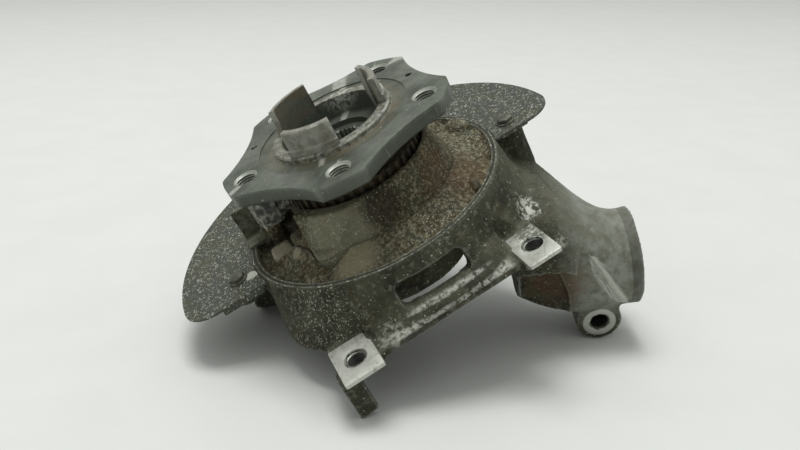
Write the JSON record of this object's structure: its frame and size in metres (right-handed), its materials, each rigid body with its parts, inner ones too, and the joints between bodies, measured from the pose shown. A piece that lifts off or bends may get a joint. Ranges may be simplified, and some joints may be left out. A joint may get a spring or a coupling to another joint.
{
  "type": "wheel hub",
  "caption": "Used strut-type steering knuckle carrying a lobed wheel flange on a bolted bearing, with a dust shield, a speed sensor, caliper bosses and a strut clamp.",
  "frame": {"origin": "centre of the wheel face, where the spin axis meets the plane that the wheel bolts against", "axes": "+Z along the spin axis, outboard; +X towards the two caliper bosses; +Y towards the strut clamp"},
  "size_m": [0.226, 0.2525, 0.1983],
  "materials": {
    "cast_aluminium": "rough casting, dirty",
    "hub_steel": "machined, dull",
    "bearing_steel": "ground",
    "fastener_steel": "dull, rusty",
    "shield_steel": "matte, speckled",
    "sleeve_steel": "bright",
    "seal_rubber": "matte",
    "sensor_plastic": "matte",
    "cage_plastic": "matte"
  },
  "bodies": {
    "knuckle": {"knuckle": "cast_aluminium", "dust_shield": "shield_steel", "shield_screw_1": "fastener_steel", "shield_screw_2": "fastener_steel", "shield_screw_3": "fastener_steel", "bearing_outer_ring": "bearing_steel", "bearing_bolt_1": "fastener_steel", "bearing_bolt_2": "fastener_steel", "bearing_bolt_3": "fastener_steel", "outboard_seal": "seal_rubber", "inboard_seal": "seal_rubber", "speed_sensor": "sensor_plastic", "sensor_bolt": "fastener_steel", "sensor_bracket": "fastener_steel", "caliper_sleeve_lower": "sleeve_steel", "caliper_sleeve_upper": "sleeve_steel"},
    "hub": {"wheel_hub": "hub_steel", "tone_ring": "bearing_steel", "bearing_inner_ring": "bearing_steel"},
    "outboard_ball_set": {"outboard_balls": "bearing_steel", "outboard_cage": "cage_plastic"},
    "inboard_ball_set": {"inboard_balls": "bearing_steel", "inboard_cage": "cage_plastic"}
  },
  "joints": [
    {"name": "hub_spin", "type": "hinge", "parent": "knuckle", "child": "hub", "pos_m": [0, 0, 0], "axis": [0, 0, 1], "continuous": true},
    {"name": "outboard_cage_turn", "type": "hinge", "parent": "knuckle", "child": "outboard_ball_set", "pos_m": [0, 0, 0], "axis": [0, 0, 1], "continuous": true},
    {"name": "inboard_cage_turn", "type": "hinge", "parent": "knuckle", "child": "inboard_ball_set", "pos_m": [0, 0, 0], "axis": [0, 0, 1], "continuous": true}
  ],
  "couplings": [
    {"joint": "outboard_cage_turn", "follows": "hub_spin", "ratio": 0.43},
    {"joint": "inboard_cage_turn", "follows": "hub_spin", "ratio": 0.43}
  ]
}
